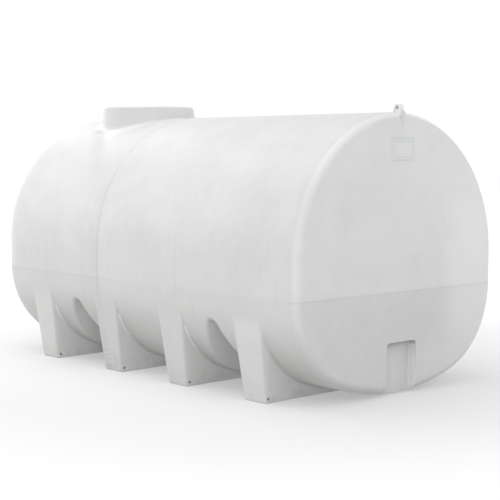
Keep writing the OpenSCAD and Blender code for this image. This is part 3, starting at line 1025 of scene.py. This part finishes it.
def markManway(f):
    # painted light and shade: the neck is duller on its near side and paler to both ends; by its foot the
    # crown has a painted highlight near and a painted shadow far
    s = shellFinish
    fromManway = f.x - manway["x"]
    spread = fromManway * fromManway + f.y * f.y    # the distance from the neck's axis, squared
    across = fromManway * s["neckAcross"][0] + f.y * s["neckAcross"][1]
    onNeck = f.ramp(spread, 0.188, 0.172)
    dull = f.ramp(across, -0.93, -0.78) * f.ramp(across, 0.10, -0.60)
    pale = f.ramp(across, 0.25, 0.90) * s["neckFar"] + f.ramp(across, -0.86, -1.00) * s["neckNear"]
    # a painted highlight along the deck's edge
    deckEdge = f.ramp(f.z, manway["deck"] - 0.014, manway["deck"] - 0.003) * f.line(across, 0.0, 0.45, 0.40)
    pale = pale + deckEdge * s["deckEdge"]
    f.lay(onNeck * dull * s["neckDull"], s["shade"])
    f.lay(onNeck * pale, s["paintedLight"])
    footPale = f.line(spread, 0.235, 0.030, 0.060)
    footPale = footPale * f.ramp(across, 0.20, -0.30) * f.ramp(across, -1.00, -0.82)
    footShade = f.ramp(spread, 0.165, 0.180) * f.ramp(spread, 0.270, 0.190) * f.ramp(across, 0.15, 0.55)
    f.lay(footPale * s["footPale"], s["paintedLight"])
    f.lay(footShade * s["footShade"], s["shade"])
    # a grey smudge behind the foot, with a faint trail below it
    lean = f.x + f.y * s["smudgeLean"]
    centre = manway["x"] - s["smudgeBehind"]
    smudge = f.line(lean, centre, 0.020, 0.060) * f.line(f.y, -0.455, 0.012, 0.035)
    trail = f.line(lean, centre, 0.010, 0.160) * f.ramp(f.y, -0.92, -0.50) * f.ramp(f.y, -0.38, -0.45)
    f.lay(smudge * s["smudge"] + trail * s["trail"], s["shade"])


def markPocket(f):
    # inside the outlet pocket the far wall and corner are paler, painted light, and the roof and the near
    # part duller, a painted shadow and painted shade
    s = shellFinish
    half = pocket["halfWidth"]
    top = pocket["top"]
    middle = pocket["back"] + pocket["depth"] / 2 - 0.006
    inside = f.line(f.y, 0.0, half + 0.002, 0.004) * f.ramp(f.z, top + 0.010, top)
    inside = inside * f.line(f.x, middle, pocket["depth"] / 2, 0.008)
    wall = f.ramp(f.y, half - 0.006, half - 0.002)
    corner = f.line(f.y, half - 0.010, 0.002, 0.004) * f.ramp(f.z, 0.24, 0.14)
    f.lay(inside * (wall * s["pocketWall"] + corner * s["pocketCorner"]), s["paintedLight"])
    roof = f.ramp(f.z - f.y * 0.05, top - 0.048, top - 0.026) * s["pocketRoof"]
    roof = roof + f.ramp(f.z, top - 0.140, top - 0.020) * s["pocketUpper"]
    f.lay(inside * roof, s["shade"])
    f.lay(inside * f.ramp(f.y, 0.0, -half) * s["pocketNear"], s["shade"])


def lineSeams(f, onSide):
    # a thin shaded line along each mould seam, faint where the level seam is only a trace
    s = shellFinish
    joint = lines["joint"]
    broken = f.ramp(f.noise(9.0, 2.0, 0.5), 0.25, 0.55)
    mainLine = f.line(f.x, tank["mainSeam"] + 0.004, 0.003, 0.009) * f.ramp(f.z, 0.45, 0.65)
    f.lay(mainLine * (s["mainLine"] + broken * s["mainLineBroken"]), s["shade"])
    behind = f.line(f.x, tank["mainSeam"] - 0.030, 0.020, 0.090) * onSide * f.ramp(f.z, 1.60, 1.30)
    f.lay(behind * s["behindSeam"], s["shade"])
    levelLine = f.line(f.z, tank["seam"] - 0.006, 0.004, 0.010)
    front = tank["halfLength"] - 0.07
    traced = f.ramp(f.x, joint, joint + 0.05) * f.ramp(f.x, front, front - 0.02)
    atRear = f.ramp(f.x, joint + 0.05, joint - 0.15)
    strength = s["levelLine"] + broken * s["levelLineBroken"] + atRear * s["levelLineRear"]
    f.lay(levelLine * (1 - traced * s["levelLineTraced"]) * strength, s["shade"])


def makeShellFinish():
    s = shellFinish
    f = Finish(bpy.data.materials.new("mouldedWhite"))
    patches = f.noise(6.0, 4.0, 0.65)
    clouds = f.noise(1.3, 3.0, 0.6) * 0.6 + patches * 0.4
    streaks = f.noise(3.0, 3.0, 0.6, (5.0, 5.0, 0.5))
    facing = f.node("ShaderNodeNewGeometry", {}, {}, "Normal")
    under = f.ramp(f.part(facing, "Z") + (patches - 0.5) * 0.3, -0.12, -0.80)
    onSide = f.ramp(abs(f.y), 0.80, 0.92)
    onEnd = f.ramp(f.x, tank["halfLength"] - 0.02, tank["halfLength"] - 0.004)

    f.colour = f.tint(f.ramp(clouds, 0.38, 0.64), s["white"], s["cloud"])
    f.lay(f.ramp(streaks, 0.52, 0.75) * onSide * s["streaks"], s["shade"])
    # painted shade, darkest towards the ground and on faces that look down
    layPaintedShade(f, onSide, onEnd, under)
    markEnds(f, onEnd, under)
    markLegs(f, facing)
    markManway(f)
    markPocket(f)
    lineSeams(f, onSide)
    nearGround = f.ramp(f.z, 0.22, 0.0)
    grime = nearGround * nearGround * f.ramp(f.noise(16.0, 6.0, 0.65), 0.42, 0.72)
    splash = f.ramp(f.z, 0.65, 0.0) * f.ramp(f.noise(45.0, 3.0, 0.7), 0.66, 0.76)
    f.lay(grime * s["grime"] + splash * s["splash"], s["dirt"])

    # slow waves, dimples and a fine peel, with shrink wrinkles across the foot of the second leg
    wrinkled = f.ramp(f.z, 0.20, 0.15) * f.ramp(f.z, 0.02, 0.06)
    wrinkled = wrinkled * f.line(f.x, legs["places"][1] - 0.03, 0.06, 0.05)
    wrinkles = f.noise(1.0, 2.0, 0.5, (6.0, 1.0, 24.0)) * wrinkled
    height = f.noise(1.6, 1.0, 0.4) * s["waves"] + f.noise(13.0, 2.0, 0.5) * s["dimples"]
    height = height + f.noise(240.0, 2.0, 0.6) * s["peel"] + wrinkles * s["wrinkle"]
    rough = s["roughness"] + (patches - 0.5) * 0.16 + grime * 0.2
    constants = {"IOR": 1.5, "Subsurface Weight": 0.10, "Subsurface Scale": 0.02}
    return f.surface(constants, f.colour, rough, height)


lidFinish = {
    "black": (0.018, 0.018, 0.019, 1),
    "dustAndShade": (0.16, 0.15, 0.135, 1),
    "dustAndShadeAmount": 0.45,
    "roughness": 0.36,
    "grain": 0.00010,
    "swirl": 0.0006,
}


def makeLidFinish():
    s = lidFinish
    f = Finish(bpy.data.materials.new("ribbedBlack"))
    dustAndShade = f.ramp(f.noise(26.0, 5.0, 0.65), 0.48, 0.78)
    swirl = f.noise(9.0, 2.0, 0.5)
    colour = f.tint(dustAndShade * s["dustAndShadeAmount"], s["black"], s["dustAndShade"])
    rough = s["roughness"] + dustAndShade * 0.25 + (swirl - 0.5) * 0.12
    return f.surface({"IOR": 1.5}, colour, rough, f.noise(420.0, 2.0, 0.5) * s["grain"] + swirl * s["swirl"])


weldFinish = {
    "white": (0.720, 0.722, 0.718, 1),
    "dustAndShade": (0.500, 0.498, 0.488, 1),
    "foremostLeg": 0.7,
    "pits": 0.0008,
}


def makeWeldFinish():
    # the beads along the inner corners are paler than the skin, a painted highlight, and darker low down and
    # at the foremost leg, painted shade
    s = weldFinish
    f = Finish(bpy.data.materials.new("cornerWhite"))
    patches = f.noise(9.0, 4.0, 0.6)
    dustAndShadeAmount = f.ramp(f.z + (patches - 0.5) * 0.2, 0.42, 0.16)
    dustAndShadeAmount = dustAndShadeAmount + f.line(f.x, legs["places"][3], 0.20, 0.20) * s["foremostLeg"]
    colour = f.tint(dustAndShadeAmount, s["white"], s["dustAndShade"])
    rough = shellFinish["roughness"] + (patches - 0.5) * 0.2
    return f.surface({"IOR": 1.5}, colour, rough, f.noise(60.0, 3.0, 0.6) * s["pits"])


shellMaterial = makeShellFinish()
weldMaterial = makeWeldFinish()
lidMaterial = makeLidFinish()
for piece in (tankSkin, manwayNeck, manwayCollar, frontLug, rearLug, partingSeam, labelFrame, footCreases):
    piece.data.materials.clear()
    piece.data.materials.append(shellMaterial)
legWelds.data.materials.append(weldMaterial)
manwayLid.data.materials.append(lidMaterial)
print("finishes made")

camera = {"place": (7.460, -6.443, 1.679), "azimuth": 48.15, "pitch": 4.55, "lens": 90.0, "sensor": 36}


def makeCamera():
    data = bpy.data.cameras.new("view")
    data.lens = camera["lens"]
    data.sensor_width = camera["sensor"]
    view = bpy.data.objects.new("view", data)
    view.location = camera["place"]
    view.rotation_euler = (math.radians(90 - camera["pitch"]), 0, math.radians(camera["azimuth"]))
    scene.collection.objects.link(view)
    scene.camera = view


# studio: a white room, brightest behind the tank, over a pale floor that glows a little like a light table
studio = {
    "room": 0.204,
    "before": 0.75,
    "behind": 0.82,
    "viewerSide": (0.745, -0.667, 0),
    "floorHalf": 60,
    "floor": (0.600, 0.600, 0.600, 1),
    "mottle": (0.582, 0.582, 0.582, 1),
    "glow": (0.30, 0.30, 0.30, 1),
    "farGlow": (0.61, 0.61, 0.61, 1),
    "glowReach": (1.8, 6.0),
    "panels": {
        "topPanel": {"place": (-1.5, -1.5, 8.0), "target": (-1, 0, 0), "size": (8, 7), "power": 257},
        "rearTopPanel": {"place": (-7.0, -3.0, 7.0), "target": (-1, 0, 1), "size": (5, 5), "power": 81},
        "rearNearPanel": {"place": (-9.0, -7.0, 5.0), "target": (-1, 0, 1), "size": (5, 5), "power": 160},
        "rimPanel": {"place": (-8.0, 1.5, 6.0), "target": (-1.2, 0, 1.9), "size": (3, 3), "power": 42},
        "farPanel": {"place": (4.2, 4.4, 2.6), "target": (1.8, 0.6, 1.0), "size": (2.5, 2.5), "power": 34},
    },
}


def makePanel(name, panel):
    data = bpy.data.lights.new(name, "AREA")
    data.shape = "RECTANGLE"
    data.size, data.size_y = panel["size"]
    data.energy = panel["power"]
    light = bpy.data.objects.new(name, data)
    light.location = panel["place"]
    aim = Vector(panel["target"]) - Vector(panel["place"])
    light.rotation_euler = aim.to_track_quat("-Z", "Y").to_euler()
    scene.collection.objects.link(light)


def makeRoom():
    scene.world = bpy.data.worlds.new("room")
    f = Finish(scene.world, "Generated")
    toViewer = f.node("ShaderNodeVectorMath", {"operation": "DOT_PRODUCT"},
                      {0: f.here, 1: studio["viewerSide"]}, "Value")
    before = f.ramp(toViewer, -0.5, 0.6) * studio["before"]
    behind = f.ramp(toViewer, -0.4, -0.9) * studio["behind"]
    bright = studio["room"] + before + behind
    room = f.node("ShaderNodeBackground", {}, {"Color": (1, 1, 1, 1), "Strength": bright})
    f.node("ShaderNodeOutputWorld", {}, {"Surface": room})


def makeFloor():
    bm = bmesh.new()
    bmesh.ops.create_grid(bm, x_segments=1, y_segments=1, size=studio["floorHalf"])
    floor = finishPiece(bm, "floor")
    f = Finish(bpy.data.materials.new("paleFloor"))
    mottle = f.noise(0.8, 2.0, 0.5)
    colour = f.tint(mottle * 0.5, studio["floor"], studio["mottle"])
    distance = f.node("ShaderNodeVectorMath", {"operation": "LENGTH"}, {0: f.here}, "Value")
    glow = f.tint(f.ramp(distance, *studio["glowReach"]), studio["glow"], studio["farGlow"])
    constants = {"Specular IOR Level": 0.1, "Emission Color": glow, "Emission Strength": 1.0}
    floor.data.materials.append(f.surface(constants, colour, 0.8 + mottle * 0.1, mottle * 0.0001))
    return floor


makeCamera()
makeRoom()
for name, panel in studio["panels"].items():
    makePanel(name, panel)
floor = makeFloor()
scene.view_settings.view_transform = "Standard"
print("camera and studio made")
